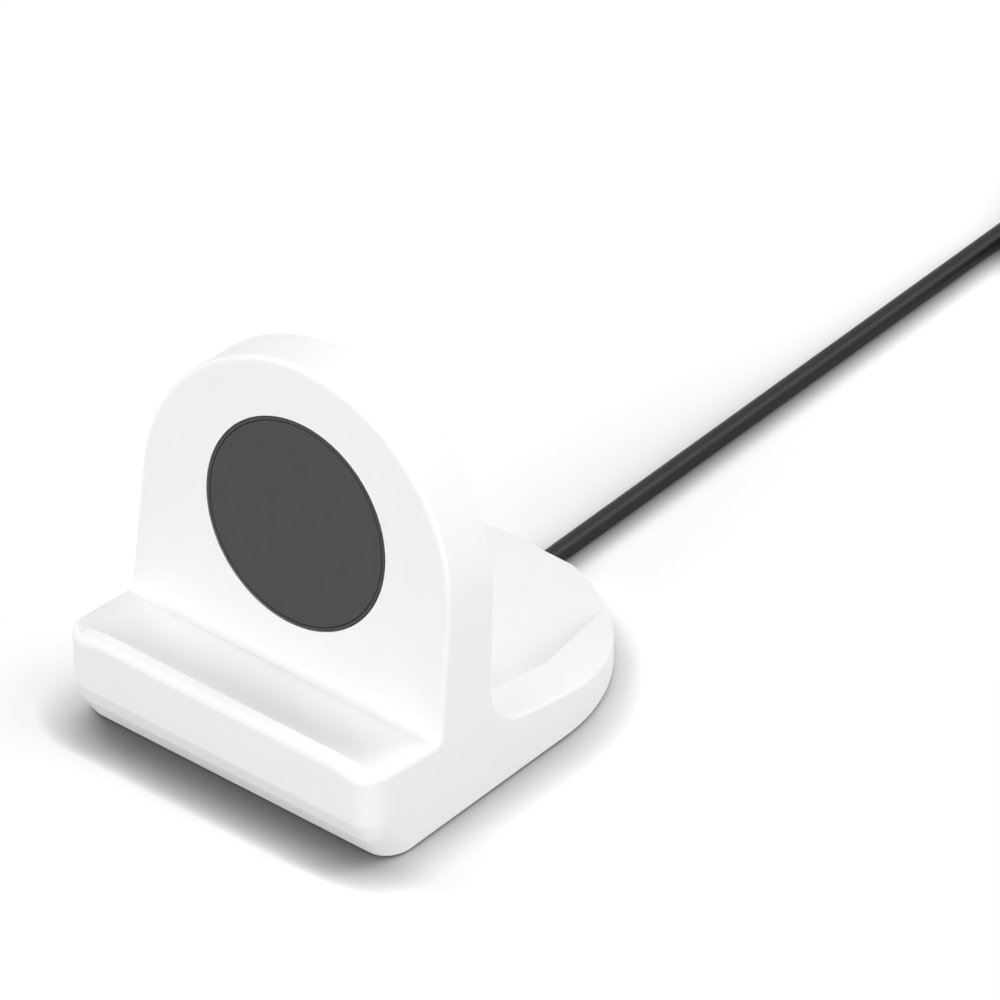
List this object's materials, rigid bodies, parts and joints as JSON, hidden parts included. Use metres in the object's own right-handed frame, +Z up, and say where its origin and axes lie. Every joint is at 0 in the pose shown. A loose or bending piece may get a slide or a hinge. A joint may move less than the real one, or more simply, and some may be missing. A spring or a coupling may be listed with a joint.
{
  "type": "smartwatch charging dock",
  "caption": "Soft white watch stand with a leaning round-topped panel, a dark magnetic charging puck, a front ledge and a cable led out at the rear.",
  "frame": {"origin": "on the table, under the middle of the stand's box", "axes": "+X to the wearer's right along the watch ledge, +Y from the ledge to the rear, +Z up"},
  "size_m": [0.0972, 0.2112, 0.062],
  "materials": {
    "stand_silicone": "matt white silicone, moulded in one piece",
    "grip_gel": "tacky dark grey gel pad",
    "puck_shell": "dark grey, fine satin",
    "puck_cover": "dark grey, very fine satin",
    "black_tape": "double-sided tape",
    "copper_wire": "enamelled copper",
    "ferrite": "sintered ferrite",
    "plated_steel": "plated sheet steel",
    "magnet_nickel": "nickel-plated magnet",
    "carrier_plastic": "black moulding",
    "board_resist": "green solder resist",
    "chip_resin": "black moulding compound",
    "capacitor_ceramic": "tan ceramic",
    "lead_jacket": "thin wire insulation",
    "solder_tin": "tin solder",
    "cable_jacket": "black flexible jacket",
    "plug_moulding": "black moulded grip",
    "plug_steel": "nickel-plated drawn shell",
    "insert_plastic": "black contact carrier",
    "contact_gold": "gold-plated contacts"
  },
  "bodies": {
    "root": {"stand_body": "stand_silicone", "grip_pad": "grip_gel", "puck_rear_case": "puck_shell", "puck_front_cover": "puck_cover", "cover_tape": "black_tape", "charging_coil": "copper_wire", "ferrite_shield": "ferrite", "flux_plate": "plated_steel", "alignment_magnet": "magnet_nickel", "coil_carrier": "carrier_plastic", "circuit_board": "board_resist", "charge_controller": "chip_resin", "bridge_transistors": "chip_resin", "resonant_capacitors": "capacitor_ceramic", "filter_choke": "ferrite", "heat_sensor": "capacitor_ceramic", "power_leads": "lead_jacket", "solder_joints": "solder_tin", "coil_leads": "copper_wire", "puck_strain_relief": "cable_jacket", "held_cable": "cable_jacket", "cable": "cable_jacket", "cable_coil": "cable_jacket", "plug_strain_relief": "plug_moulding", "plug_grip": "plug_moulding", "plug_shell": "plug_steel", "plug_insert": "insert_plastic", "plug_contacts": "contact_gold"}
  },
  "joints": []
}
